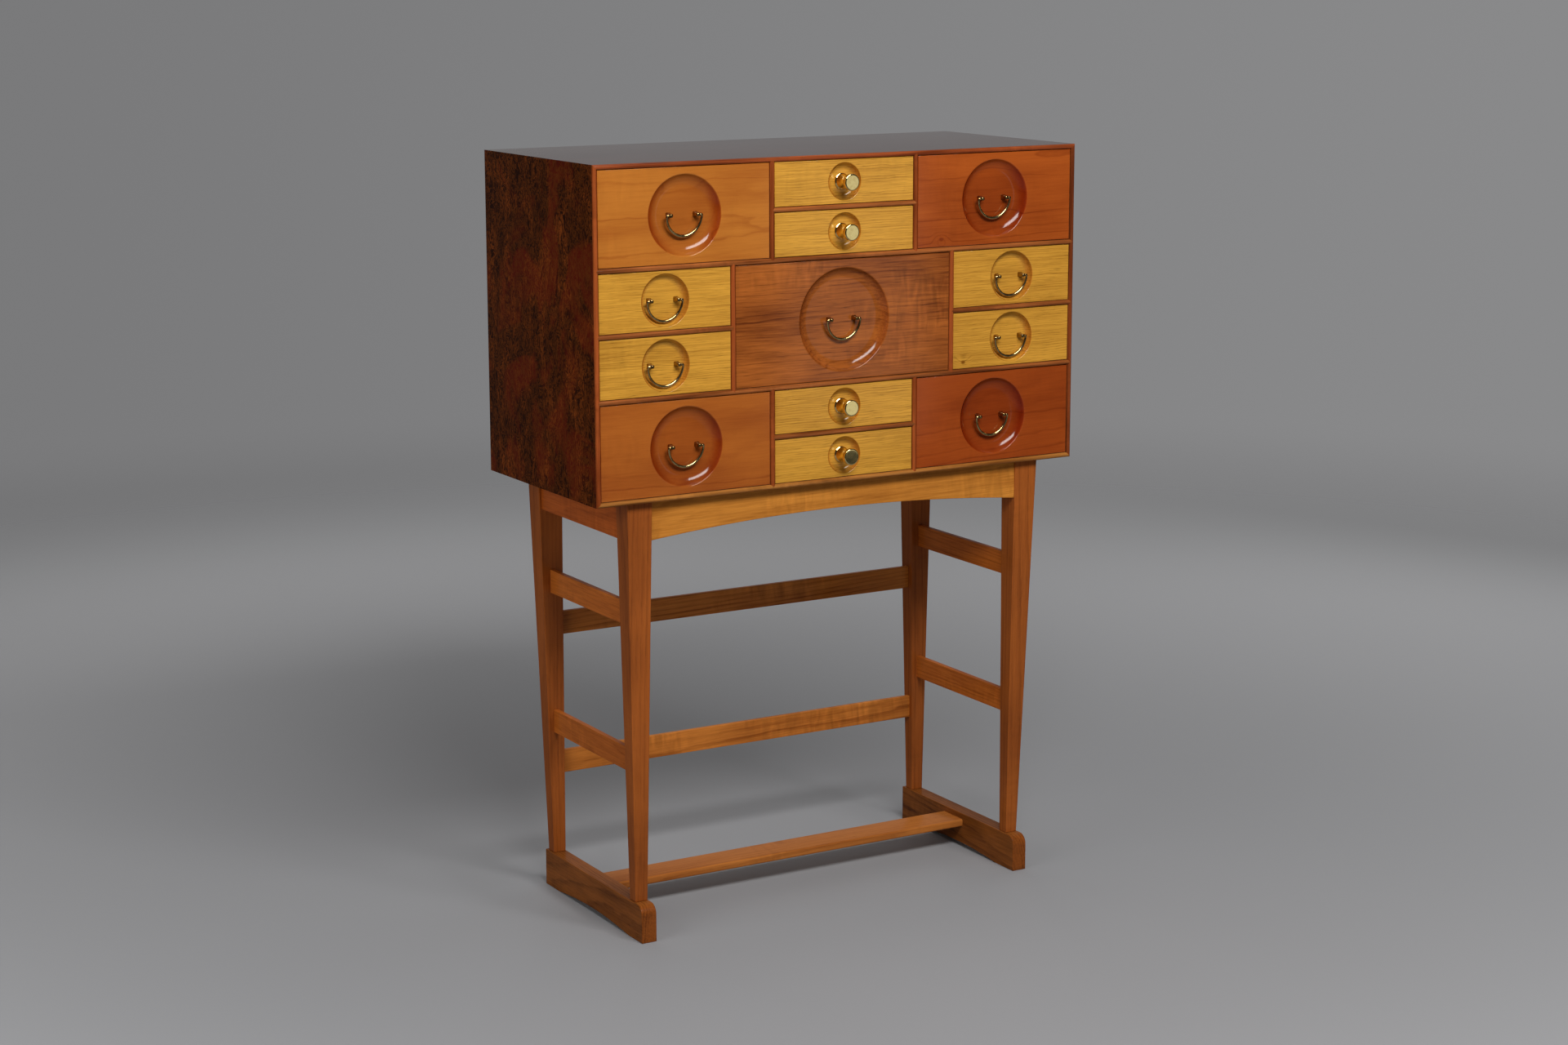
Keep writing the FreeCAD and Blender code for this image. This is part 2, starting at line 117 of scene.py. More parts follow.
def tone(red, green, blue):
    """Colour as it is named on screen, turned into light values."""
    values = [v / 255.0 for v in (red, green, blue)]
    return tuple(v / 12.92 if v <= 0.04045 else ((v + 0.055) / 1.055) ** 2.4 for v in values) + (1.0,)


# Figure of solid wood. X is along the grain and the heart of the tree is the X axis.
# Wood cut across its grain drinks more finish, so it is redder where Facing is along X.
# Inside a dish, which Dish Shade marks, the wood is painted a little darker and redder:
# painted shade of the hollow.
DISH_SHADE_TINT, CUT_TINT = (0.81, 0.70, 0.67, 1.0), (0.70, 0.36, 0.21, 1.0)
grain, g, done = new_group("wood_grain", [
    ("Place", "place", None), ("Ring Width", "value", 0.006), ("Wander", "value", 0.012),
    ("Rings", "value", 0.5), ("Fibres", "value", 0.4), ("Pores", "value", 0.3),
    ("Pore Size", "value", 1.0), ("Ripple", "value", 0.1), ("Blotches", "value", 0.3),
    ("Pale", "colour", (0.6, 0.3, 0.1, 1.0)), ("Deep", "colour", (0.3, 0.1, 0.03, 1.0)),
    ("Sheen", "value", 0.38), ("Facing", "place", None), ("Waver", "value", 0.3),
    ("Line", "value", 0.45), ("Dish Shade", "value", 0.0), ("Drink", "value", 1.0), ("Knot Distance", "value", 1.0),
], [("Colour", "colour"), ("Roughness", "value"), ("Height", "value")])
slow = stretch(grain, g["Place"], 1.6, 9.0, 9.0)
drift = place(grain, "ShaderNodeTexNoise", Vector=slow, Scale=1.0, Detail=2.0).outputs["Color"]
drift = place(grain, "ShaderNodeVectorMath", drift, (0.5, 0.5, 0.5), operation="SUBTRACT").outputs[0]
drift = place(grain, "ShaderNodeVectorMath", drift, operation="SCALE", Scale=g["Wander"]).outputs[0]
around = place(grain, "ShaderNodeVectorMath", g["Place"], drift, operation="ADD").outputs[0]
around = stretch(grain, around, 0.0, 1.0, 1.0)
radius = place(grain, "ShaderNodeVectorMath", around, operation="LENGTH").outputs["Value"]
uneven = noise(grain, stretch(grain, g["Place"], 1.0, 40.0, 40.0), 1.0)
count = work(grain, "ADD", work(grain, "DIVIDE", radius, g["Ring Width"]),
             work(grain, "MULTIPLY", uneven, 1.4))
small_waves = noise(grain, stretch(grain, g["Place"], 26.0, 60.0, 60.0), 1.0)
count = work(grain, "ADD", count, work(grain, "MULTIPLY", small_waves, g["Waver"]))
count = work(grain, "ADD", count, work(grain, "MULTIPLY", between(grain, g["Knot Distance"], 0.017, 0.0), 1.7))
phase = work(grain, "FRACT", count)
late = work(grain, "MULTIPLY", between(grain, phase, g["Line"], 0.9),
            work(grain, "SUBTRACT", 1.0, between(grain, phase, 0.92, 1.0)))
year = noise(grain, place(grain, "ShaderNodeCombineXYZ", work(grain, "FLOOR", count), 0.5, 0.5).outputs[0], 0.0)
late = work(grain, "MULTIPLY", late, between(grain, year, 0.2, 0.75))
streaks = noise(grain, stretch(grain, g["Place"], 9.0, 360.0, 360.0), 3.0, 0.6)
hairs = noise(grain, stretch(grain, g["Place"], 24.0, 900.0, 900.0), 2.0, 0.6)
patches = noise(grain, stretch(grain, g["Place"], 4.0, 13.0, 13.0), 2.0, 0.55, 0.4)
dark = work(grain, "MULTIPLY", late, g["Rings"])
dark = work(grain, "ADD", dark, work(grain, "MULTIPLY", g["Fibres"], between(grain, streaks, 0.3, 0.75)))
dark = work(grain, "ADD", dark, work(grain, "MULTIPLY", g["Blotches"], between(grain, patches, 0.35, 0.7)))
dark = work(grain, "ADD", dark, work(grain, "MULTIPLY", g["Fibres"],
                                     work(grain, "MULTIPLY", work(grain, "SUBTRACT", hairs, 0.5), 0.7)))
dark = work(grain, "ADD", dark, work(grain, "MULTIPLY", between(grain, g["Knot Distance"], 0.0042, 0.0008), 0.7))
dark = place(grain, "ShaderNodeClamp", dark).outputs[0]
colour = shade(grain, dark, g["Pale"], g["Deep"])
wave = noise(grain, stretch(grain, g["Place"], 78.0, 20.0, 20.0), 1.0, 0.5, 0.8)
where = between(grain, noise(grain, stretch(grain, g["Place"], 6.0, 11.0, 11.0), 1.0), 0.46, 0.68)
band = work(grain, "MULTIPLY", work(grain, "SUBTRACT", wave, 0.5), work(grain, "MULTIPLY", where, g["Ripple"]))
light = work(grain, "ADD", 1.0, work(grain, "MULTIPLY", band, 2.4))
pore_place = place(grain, "ShaderNodeVectorMath", g["Place"], operation="SCALE",
                   Scale=work(grain, "DIVIDE", 1.0, g["Pore Size"])).outputs[0]
dashes = noise(grain, stretch(grain, pore_place, 55.0, 1300.0, 1300.0), 1.0, 0.4)
holes = work(grain, "MULTIPLY", between(grain, dashes, 0.56, 0.7),
             work(grain, "ADD", 0.45, work(grain, "MULTIPLY", late, 0.55)))
light = work(grain, "MULTIPLY", light,
             work(grain, "SUBTRACT", 1.0, work(grain, "MULTIPLY", holes, g["Pores"])))
lit = place(grain, "ShaderNodeCombineXYZ", light, light, light).outputs[0]
cut = place(grain, "ShaderNodeSeparateXYZ", g["Facing"]).outputs[0]
cut = work(grain, "MULTIPLY", between(grain, work(grain, "ABSOLUTE", cut), 0.04, 0.75), g["Drink"])
# Inside a dish the colour is multiplied by the shade tint: painted shade of the hollow.
colour = shade(grain, g["Dish Shade"], colour, DISH_SHADE_TINT, "MULTIPLY")
colour = shade(grain, cut, colour, CUT_TINT, "MULTIPLY")
wire(grain, done["Colour"], shade(grain, 1.0, colour, lit, "MULTIPLY"))
wire(grain, done["Roughness"], work(grain, "ADD", g["Sheen"], work(grain, "ADD", work(
    grain, "MULTIPLY", holes, 0.15), work(grain, "MULTIPLY", work(grain, "SUBTRACT", patches, 0.5), 0.08))))
wire(grain, done["Height"], work(grain, "SUBTRACT", work(grain, "MULTIPLY", streaks, 0.25),
                                 work(grain, "MULTIPLY", holes, g["Pores"])))


def new_material(name, coat, coat_roughness=0.14, level=0.5):
    """Material, with a clear finish over it where coat is above 0; its node tree and its main shader."""
    material = bpy.data.materials.new(name)
    material.use_nodes = True
    shader = material.node_tree.nodes["Principled BSDF"]
    shader.inputs["Coat Weight"].default_value = coat
    shader.inputs["Coat Roughness"].default_value = coat_roughness
    shader.inputs["Specular IOR Level"].default_value = level
    return material, material.node_tree, shader


DISH_SHADE_EDGE, KNOT_SQUASH, PORE_DEPTH = 0.003, 0.7, 0.0004


def wood(name, pale, deep, along="X", heart=(0.0, 0.0, 0.0), tilt=(0.0, 0.0), coat=0.22,
         coat_roughness=0.16, level=0.03, relief=0.12, turned_from=None, knot=None, **figure):
    """Oiled or varnished solid wood. heart is a point on the tree's middle line, in metres,
    tilt how the plank leans from it, turned_from the face that a dish is sunk in (behind it the
    wood gets painted shade), knot the place of a small knot, and figure sets the sockets of wood_grain."""
    material, tree, shader = new_material(name, coat, coat_roughness, level)
    turns = {"X": (0.0, 0.0, 0.0), "Y": (0.0, 0.0, -math.pi / 2), "Z": (0.0, math.pi / 2, 0.0)}
    turn = [turns[along][0], turns[along][1] + tilt[0], turns[along][2] + tilt[1]]
    here = place(tree, "ShaderNodeTexCoord").outputs["Object"]
    spot = place(tree, "ShaderNodeVectorMath", here, heart, operation="SUBTRACT").outputs[0]
    spot = place(tree, "ShaderNodeMapping", Vector=spot, Rotation=turn).outputs[0]
    node = tree.nodes.new("ShaderNodeGroup")
    node.node_tree = grain
    wire(tree, node.inputs["Place"], spot)
    # Behind the face that a dish is sunk in, the wood is marked for painted shade.
    if turned_from is not None:
        depth = place(tree, "ShaderNodeSeparateXYZ", here).outputs[1]
        wire(tree, node.inputs["Dish Shade"], between(tree, depth, turned_from, turned_from + DISH_SHADE_EDGE))
    if knot:
        off = place(tree, "ShaderNodeVectorMath", here, knot, operation="SUBTRACT").outputs[0]
        off = stretch(tree, off, KNOT_SQUASH, 0.0, 1.0)
        off = place(tree, "ShaderNodeVectorMath", off, operation="LENGTH").outputs["Value"]
        wire(tree, node.inputs["Knot Distance"], off)
    facing = place(tree, "ShaderNodeNewGeometry").outputs["Normal"]
    facing = place(tree, "ShaderNodeMapping", vector_type="VECTOR", Vector=facing, Rotation=turn).outputs[0]
    wire(tree, node.inputs["Facing"], facing)
    wire(tree, node.inputs["Pale"], tone(*pale))
    wire(tree, node.inputs["Deep"], tone(*deep))
    for label, value in figure.items():
        wire(tree, node.inputs[label.replace("_", " ")], value)
    wire(tree, shader.inputs["Base Color"], node.outputs["Colour"])
    wire(tree, shader.inputs["Roughness"], node.outputs["Roughness"])
    bump = place(tree, "ShaderNodeBump", Strength=relief, Distance=PORE_DEPTH, Height=node.outputs["Height"])
    wire(tree, shader.inputs["Normal"], bump.outputs[0])
    return material


def finished(name, mesh, materials, smooth=math.radians(32)):
    """Object at the origin with these materials; edges sharper than an angle stay crisp."""
    thing = bpy.data.objects.new(name, mesh)
    bpy.context.scene.collection.objects.link(thing)
    for material in materials:
        mesh.materials.append(material)
    work_mesh = bmesh.new()
    work_mesh.from_mesh(mesh)
    for face in work_mesh.faces:
        face.smooth = True
    for edge in work_mesh.edges:
        edge.smooth = len(edge.link_faces) == 2 and edge.calc_face_angle(0.0) < smooth
    work_mesh.to_mesh(mesh)
    work_mesh.free()
    return thing


def made_plain(thing):
    """The object with what its modifiers give as its own mesh, and without them."""
    state = bpy.context.evaluated_depsgraph_get()
    mesh = bpy.data.meshes.new_from_object(thing.evaluated_get(state), preserve_all_data_layers=True,
                                           depsgraph=state)
    thing.modifiers.clear()
    thing.data = mesh
    return thing


def ease_edges(thing, width, segments=2):
    """Take the sharpness off every edge, as sandpaper does, and keep the flats flat."""
    bevel = thing.modifiers.new("eased", "BEVEL")
    bevel.width, bevel.segments = width, segments
    bevel.limit_method, bevel.angle_limit = "ANGLE", math.radians(30)
    bevel.miter_outer = "MITER_ARC"
    weight = thing.modifiers.new("flats", "WEIGHTED_NORMAL")
    weight.keep_sharp = False
    return made_plain(thing)


def closed_rings(shape, rings):
    """Skin over a row of rings, with a cap at each end."""
    for lower, upper in zip(rings, rings[1:]):
        for i in range(len(lower)):
            shape.faces.new((lower[i - 1], lower[i], upper[i], upper[i - 1]))
    shape.faces.new(rings[0])
    shape.faces.new(rings[-1])


def sawn(pieces):
    """Mesh of straight pieces: each is its outline's corners at one end, then at the other."""
    mesh = bpy.data.meshes.new("sawn")
    shape = bmesh.new()
    for ends in pieces:
        closed_rings(shape, [[shape.verts.new(corner) for corner in end] for end in ends])
    bmesh.ops.recalc_face_normals(shape, faces=shape.faces)
    shape.to_mesh(mesh)
    shape.free()
    return mesh


def arc(middle_a, middle_b, radius, start, end, steps):
    """Points along an arc, from one angle to another in degrees."""
    turns = [math.radians(start + (end - start) * i / steps) for i in range(steps + 1)]
    return [(middle_a + radius * math.cos(t), middle_b + radius * math.sin(t)) for t in turns]


def bowed(start, end, level, rise, steps):
    """Points of a shallow curve that rises by this much half way between two ends."""
    half = (end - start) / 2.0
    radius = (half * half + rise * rise) / (2.0 * rise)
    points = []
    for i in range(steps + 1):
        a = start + (end - start) * i / steps
        points.append((a, level + math.sqrt(radius ** 2 - (a - start - half) ** 2) - radius + rise))
    return points


runner_wood = wood("runner_wood", (150, 86, 34), (88, 46, 16), "Y", (0.1, 0.0, -0.03), (0.02, 0.03),
                   Ring_Width=0.005, Wander=0.02, Rings=0.4, Fibres=0.4, Pores=0.35, Ripple=0.2, Blotches=0.45,
                   Drink=0.35)
RUNNER_TOP, RUNNER_THICK, NOSE = 0.0606, 0.026, 0.016
PAD, HOLLOW = 0.050, 0.0075
low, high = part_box("runners")
outline = [(high.y, 0.0), (high.y, RUNNER_TOP)]
outline += arc(low.y + NOSE, RUNNER_TOP - NOSE, NOSE, 90, 180, 10)
outline += [(low.y, 0.0)]
outline += bowed(low.y + PAD, high.y - PAD, 0.0, HOLLOW, 24)
pieces = []
for x0 in (low.x, high.x - RUNNER_THICK):
    pieces.append(([(x0, y, z) for y, z in outline], [(x0 + RUNNER_THICK, y, z) for y, z in outline]))
runners = ease_edges(finished("runners_eased", sawn(pieces), [runner_wood]), 0.0011, 3)
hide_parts("runners")
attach(runners, "cabinet")

# ------------------------------------------------------------ floor board
# A flat board joins the two runners a little above the floor. Its long edges are
# well rounded, and its ends are let into the runners.
floor_wood = wood("floor_board_wood", (184, 112, 50), (134, 70, 26), "X", (0.0, 0.35, -0.16), (0.01, 0.02),
                  Ring_Width=0.009, Wander=0.025, Rings=0.35, Fibres=0.35, Pores=0.25, Ripple=0.4, Blotches=0.4)
low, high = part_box("floor_stretcher")
ROUND = 0.003
outline = arc(low.y + ROUND, high.z - ROUND, ROUND, 90, 180, 6)
outline += arc(low.y + ROUND, low.z + ROUND, ROUND, 180, 270, 6)
outline += arc(high.y - ROUND, low.z + ROUND, ROUND, 270, 360, 6)
outline += arc(high.y - ROUND, high.z - ROUND, ROUND, 0, 90, 6)
floor_board = finished("floor_board_rounded", sawn([(
    [(low.x, y, z) for y, z in outline], [(high.x, y, z) for y, z in outline])]), [floor_wood])
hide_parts("floor_stretcher")
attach(floor_board, "cabinet")

# ------------------------------------------------------------ legs
# Four straight legs of warm orange-brown wood, tapered on all four faces from the
# case down to the runners, each cut with the grain along its length.
leg_wood = wood("leg_wood", (162, 87, 34), (112, 54, 20), "Z", (0.21, 0.07, 0.0), (0.0, 0.012), relief=0.1,
                Ring_Width=0.0075, Wander=0.02, Rings=0.3, Fibres=0.28, Pores=0.25, Ripple=0.12, Blotches=0.4)
CASE_FRONT, CASE_BACK, HALF, SEAT = -0.1822, 0.2020, 0.440, 0.7066
LEG_TOP, LEG_FOOT = (0.0430, 0.0398), (0.0215, 0.0200)
TOP_IN, FOOT_IN = (0.0585, 0.0146), (0.0753, 0.0353)


def leg_corners(side, end, z):
    """The four corners of a leg's section at a height; side and end are -1 or 1."""
    share = (z - RUNNER_TOP) / (SEAT - RUNNER_TOP)
    inset = [a + (b - a) * share for a, b in zip(FOOT_IN, TOP_IN)]
    size = [a + (b - a) * share for a, b in zip(LEG_FOOT, LEG_TOP)]
    outer_x = side * (HALF - inset[0])
    inner_x = outer_x - side * size[0]
    outer_y = CASE_FRONT + inset[1] if end < 0 else CASE_BACK - inset[1]
    inner_y = outer_y - end * size[1]
    return [(outer_x, outer_y, z), (inner_x, outer_y, z), (inner_x, inner_y, z), (outer_x, inner_y, z)]


pieces = []
for side in (-1, 1):
    for end in (-1, 1):
        pieces.append((leg_corners(side, end, RUNNER_TOP), leg_corners(side, end, SEAT)))
legs = ease_edges(finished("legs_eased", sawn(pieces), [leg_wood]), 0.0012, 3)
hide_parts("legs")
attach(legs, "cabinet")

# ------------------------------------------------------------ aprons
# Four aprons under the case, tenoned into the legs a little behind their faces. The
# front and the back one are sawn to a long shallow curve; the side ones are straight.
apron_wood = wood("apron_wood", (198, 128, 50), (142, 80, 24), "X", (0.3, 0.4, 0.52), (0.015, 0.02),
                  Ring_Width=0.008, Wander=0.03, Rings=0.32, Fibres=0.4, Pores=0.2, Ripple=0.25, Blotches=0.35)
side_apron_wood = wood("side_apron_wood", (182, 90, 30), (112, 46, 12), "Y", (0.2, 0.0, 0.60), (0.01, 0.02),
                       Ring_Width=0.007, Wander=0.02, Rings=0.3, Fibres=0.35, Pores=0.2, Ripple=0.2)
APRON_LOW, APRON_THICK, APRON_RISE = SEAT - 0.0625, 0.020, 0.018
SET_BACK, SIDE_SET_BACK, TENON_END, SIDE_TENON_END = 0.0034, 0.0053, 0.080, 0.030
shoulder = HALF - TOP_IN[0] - LEG_TOP[0]
outline = bowed(-shoulder, shoulder, APRON_LOW, APRON_RISE, 40)
outline += [(HALF - TENON_END, APRON_LOW), (HALF - TENON_END, SEAT),
            (TENON_END - HALF, SEAT), (TENON_END - HALF, APRON_LOW)]
pieces = []
for y0 in (CASE_FRONT + TOP_IN[1] + SET_BACK, CASE_BACK - TOP_IN[1] - SET_BACK - APRON_THICK):
    pieces.append(([(x, y0, z) for x, z in outline], [(x, y0 + APRON_THICK, z) for x, z in outline]))
aprons = ease_edges(finished("wide_aprons", sawn(pieces), [apron_wood]), 0.0008)
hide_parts("aprons")
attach(aprons, "cabinet")
pieces = []
for side in (-1, 1):
    x0 = side * (HALF - TOP_IN[0] - SIDE_SET_BACK)
    x1 = x0 - side * APRON_THICK
    y0, y1 = CASE_FRONT + SIDE_TENON_END, CASE_BACK - SIDE_TENON_END
    pieces.append(([(x0, y0, APRON_LOW), (x1, y0, APRON_LOW), (x1, y0, SEAT), (x0, y0, SEAT)],
                   [(x0, y1, APRON_LOW), (x1, y1, APRON_LOW), (x1, y1, SEAT), (x0, y1, SEAT)]))
side_aprons = ease_edges(finished("side_aprons", sawn(pieces), [side_apron_wood]), 0.0008)
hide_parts("aprons")
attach(side_aprons, "cabinet")

# ------------------------------------------------------------ stretchers
# Thin flat stretchers let into the legs: two at each end and two along the back,
# none at the front. Their edges are only just eased.
stretcher_wood = wood("side_stretcher_wood", (196, 108, 40), (130, 60, 18), "Y", (0.28, 0.0, 0.42), (0.02, 0.03),
                      Ring_Width=0.006, Wander=0.02, Rings=0.35, Fibres=0.4, Pores=0.25, Ripple=0.3)
rear_wood = wood("rear_stretcher_wood", (200, 122, 50), (134, 70, 22), "X", (0.0, 0.24, 0.16), (0.025, 0.012),
                 Ring_Width=0.008, Wander=0.03, Rings=0.4, Fibres=0.35, Pores=0.25, Ripple=0.4, Blotches=0.4)
HEIGHT, THICK, ENTRY = 0.0385, 0.009, 0.008
SIDE_LEVELS, REAR_LEVELS = (0.2865, 0.5230), (0.2130, 0.4480)


def bar_ends(x0, x1, y0, y1, z, along):
    """One flat bar, as the corners of its two ends."""
    z0, z1 = z - HEIGHT / 2, z + HEIGHT / 2
    if along == "Y":
        return [[(x0, y, z0), (x1, y, z0), (x1, y, z1), (x0, y, z1)] for y in (y0, y1)]
    return [[(x, y0, z0), (x, y1, z0), (x, y1, z1), (x, y0, z1)] for x in (x0, x1)]


pieces = []
for z in SIDE_LEVELS:
    for side in (-1, 1):
        corners = leg_corners(side, -1, z)
        x = (corners[0][0] + corners[1][0]) / 2
        y0 = corners[2][1] - ENTRY
        y1 = CASE_FRONT + CASE_BACK - y0
        pieces.append(bar_ends(x - THICK / 2, x + THICK / 2, y0, y1, z, "Y"))
side_stretchers = ease_edges(finished("side_stretchers", sawn(pieces), [stretcher_wood]), 0.0009)
pieces = []
for z in REAR_LEVELS:
    corners = leg_corners(1, 1, z)
    y = (corners[0][1] + corners[2][1]) / 2
    x1 = corners[1][0] + ENTRY
    pieces.append(bar_ends(-x1, x1, y - THICK / 2, y + THICK / 2, z, "X"))
rear_stretchers = ease_edges(finished("rear_stretchers", sawn(pieces), [rear_wood]), 0.0009)
for stretchers in (side_stretchers, rear_stretchers):
    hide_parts("stretchers")
    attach(stretchers, "cabinet")

# ------------------------------------------------------------ case
# Four thin boards mitred at the corners, the sides faced with dark burl veneer and the
# top with plain red-brown veneer. Each carries a half-round bead on its front edge.
burl, b, done = new_group("burl_figure", [("Place", "place", None)], [
    ("Colour", "colour"), ("Roughness", "value")])
swirl = place(burl, "ShaderNodeTexNoise", Vector=stretch(burl, b["Place"], 26.0, 26.0, 14.0), Scale=1.0,
              Detail=3.0).outputs["Color"]
swirl = place(burl, "ShaderNodeVectorMath", swirl, (0.5, 0.5, 0.5), operation="SUBTRACT").outputs[0]
swirl = place(burl, "ShaderNodeVectorMath", swirl, operation="SCALE", Scale=0.045).outputs[0]
curled = place(burl, "ShaderNodeVectorMath", b["Place"], swirl, operation="ADD").outputs[0]
threads = noise(burl, stretch(burl, curled, 150.0, 150.0, 70.0), 3.0, 0.6, 1.2)
threads = between(burl, work(burl, "ABSOLUTE", work(burl, "SUBTRACT", threads, 0.5)), 0.09, 0.0)
flecks = noise(burl, stretch(burl, curled, 300.0, 300.0, 80.0), 2.0, 0.6)
clouds = noise(burl, stretch(burl, b["Place"], 20.0, 20.0, 9.0), 4.0, 0.62, 0.9)
broad = noise(burl, stretch(burl, b["Place"], 9.0, 9.0, 8.0), 3.0, 0.6, 0.8)
lively = work(burl, "MULTIPLY", between(burl, clouds, 0.42, 0.66),
              work(burl, "ADD", work(burl, "MULTIPLY", threads, 0.65), between(burl, flecks, 0.45, 0.75)))
ground = shade(burl, between(burl, broad, 0.46, 0.62), tone(36, 11, 2), tone(84, 20, 5))
ground = shade(burl, work(burl, "MULTIPLY", threads, 0.8), ground, tone(94, 46, 11))
wire(burl, done["Colour"], shade(burl, work(burl, "MULTIPLY", lively, 0.55), ground, tone(138, 66, 20)))
wire(burl, done["Roughness"], work(burl, "ADD", 0.26, work(burl, "MULTIPLY", clouds, 0.12)))
burl_veneer, tree, shader = new_material("burl_veneer", 0.0, 0.1, 0.025)
node = tree.nodes.new("ShaderNodeGroup")
node.node_tree = burl
wire(tree, node.inputs["Place"], place(tree, "ShaderNodeTexCoord").outputs["Object"])
wire(tree, shader.inputs["Base Color"], node.outputs["Colour"])
wire(tree, shader.inputs["Roughness"], node.outputs["Roughness"])

top_veneer = wood("top_veneer", (76, 42, 29), (52, 28, 19), "X", (0.0, 0.1, 1.16), (0.0, 0.03), coat=1.0,
                  coat_roughness=0.14, relief=0.03, Ring_Width=0.008, Wander=0.03, Rings=0.3, Fibres=0.3,
                  Pores=0.15, Ripple=0.1, Sheen=0.3)
bead_figure = dict(coat=0.5, coat_roughness=0.12, level=0.0, relief=0.06, Ring_Width=0.009, Wander=0.03,
                   Rings=0.3, Fibres=0.5, Pores=0.2, Ripple=0.25, Blotches=0.55, Sheen=0.36)
bead_level = wood("bead_wood_level", (164, 94, 46), (98, 48, 18), "X", (0.2, 0.0, 1.1), **bead_figure)
bead_upright = wood("bead_wood_upright", (162, 80, 36), (100, 42, 14), "Z", (0.2, 0.0, 1.1), **bead_figure)
# The right side's bead is the upright bead painted darker: painted shade.
bead_shaded = wood("bead_wood_shaded", (128, 62, 28), (84, 36, 14), "Z", (0.2, 0.0, 1.1), **bead_figure)
bead_top = wood("bead_wood_top", (156, 76, 38), (100, 42, 16), "X", (0.1, 0.0, 1.0), **bead_figure)
bead_golden = wood("bead_wood_golden", (178, 116, 54), (118, 68, 24), "X", (0.2, 0.0, 0.6), **bead_figure)
inner_wood = wood("case_inner_wood", (150, 92, 48), (110, 60, 30), "Y", (0.1, 0.0, 0.8), coat=0.1,
                  Ring_Width=0.006, Fibres=0.4, Rings=0.3, Pores=0.3)
BEAD, CASE_HEIGHT, SKIN = 0.00385, 0.519, 0.0002
ROOT, PANEL = CASE_FRONT + BEAD, 0.1950
ROOF = SEAT + CASE_HEIGHT
INNER = HALF - 2 * BEAD


def beaded_board(shape, level, centre, start, finish, rear, outward=0):
    """Board with a half-round front edge. Its middle line is at centre and it runs from start
    to finish. outward tells which side of a mitred outer board is longer; other boards end in
    points that seat in the beads they meet."""
    section = []
    for i in range(21):
        turn = math.pi * (i / 20.0 - 0.5)
        section.append((ROOT - BEAD * math.cos(turn), BEAD * math.sin(turn)))
    section += [(rear, BEAD), (rear, -BEAD)]
    ends = ([], [])
    for y, off in section:
        reach = (outward * off - BEAD) if outward else BEAD - abs(off)
        for ring, along in zip(ends, (start - reach, finish + reach)):
            across = centre + off
            ring.append(shape.verts.new((along, y, across) if level else (across, y, along)))
    closed_rings(shape, ends)


def boards(name, rows, materials):
    """Object made of beaded boards, with outward faces in the second material."""
    mesh, shape = bpy.data.meshes.new(name), bmesh.new()
    for row in rows:
        beaded_board(shape, *row)
    for face in shape.faces:
        face.material_index = 0
        middle = face.calc_center_median()
        outside = abs(middle.x) > HALF - SKIN or middle.z > ROOF - SKIN or middle.z < SEAT + SKIN
        if middle.y > ROOT + 0.01:
            face.material_index = 1 if outside else len(materials) - 1
    bmesh.ops.recalc_face_normals(shape, faces=shape.faces)
    shape.to_mesh(mesh)
    shape.free()
    return finished(name, mesh, materials)


case_pieces = {
    "case_top": ([(True, ROOF - BEAD, -HALF, HALF, CASE_BACK, 1)], [bead_top, top_veneer, inner_wood], "veneer_top"),
    "case_bottom": ([(True, SEAT + BEAD, -HALF, HALF, CASE_BACK, -1)], [bead_golden, inner_wood], "bead_wood"),
    "case_side_left": ([(False, BEAD - HALF, SEAT, ROOF, CASE_BACK, -1)],
                       [bead_upright, burl_veneer, inner_wood], "burl_veneer"),
    "case_side_right": ([(False, HALF - BEAD, SEAT, ROOF, CASE_BACK, 1)],
                        [bead_shaded, burl_veneer, inner_wood], "burl_veneer"),
}
for node_name, (rows, materials, slot_name) in case_pieces.items():
    piece = boards(node_name + "_finished", rows, materials)
    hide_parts(node_name)
    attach(piece, "cabinet")

# ------------------------------------------------------------ rails and dividers
# Two long rails and ten short dividers part the case into thirteen bays. Each has the
# same bead as the case, ending in a point that seats in the bead it meets.
LOW, HIGH = SEAT + 2 * BEAD, ROOF - 2 * BEAD
OUTER_ROW, CORNER_WIDTH, SMALL_WIDTH = 0.1482, 0.297, 0.2276
LOW_RAIL, HIGH_RAIL = LOW + OUTER_ROW + BEAD, HIGH - OUTER_ROW - BEAD
OUTER_UPRIGHT, MID_UPRIGHT = INNER - CORNER_WIDTH - BEAD, INNER - SMALL_WIDTH - BEAD
rows_of_drawers = {"bottom": (LOW, LOW_RAIL - BEAD), "middle": (LOW_RAIL + BEAD, HIGH_RAIL - BEAD),
                   "top": (HIGH_RAIL + BEAD, HIGH)}
splits = {row: sum(heights) / 2 for row, heights in rows_of_drawers.items()}
rails = boards("long_rails_finished", [(True, z, -INNER, INNER, PANEL) for z in (LOW_RAIL, HIGH_RAIL)],
               [bead_level, inner_wood])
level_rows, upright_rows = [], []
for side in (-1, 1):
    for row in ("bottom", "top"):
        upright_rows.append((False, side * OUTER_UPRIGHT, *rows_of_drawers[row], PANEL))
    upright_rows.append((False, side * MID_UPRIGHT, *rows_of_drawers["middle"], PANEL))
    ends = sorted((side * (MID_UPRIGHT + BEAD), side * INNER))
    level_rows.append((True, splits["middle"], *ends, PANEL))
for row in ("bottom", "top"):
    level_rows.append((True, splits[row], BEAD - OUTER_UPRIGHT, OUTER_UPRIGHT - BEAD, PANEL))
level_dividers = boards("level_dividers", level_rows, [bead_level, inner_wood])
upright_dividers = boards("upright_dividers", upright_rows, [bead_upright, inner_wood])
for piece, node_name in ((rails, "long_rails"), (level_dividers, "dividers"), (upright_dividers, "dividers")):
    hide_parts(node_name)
    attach(piece, "cabinet")

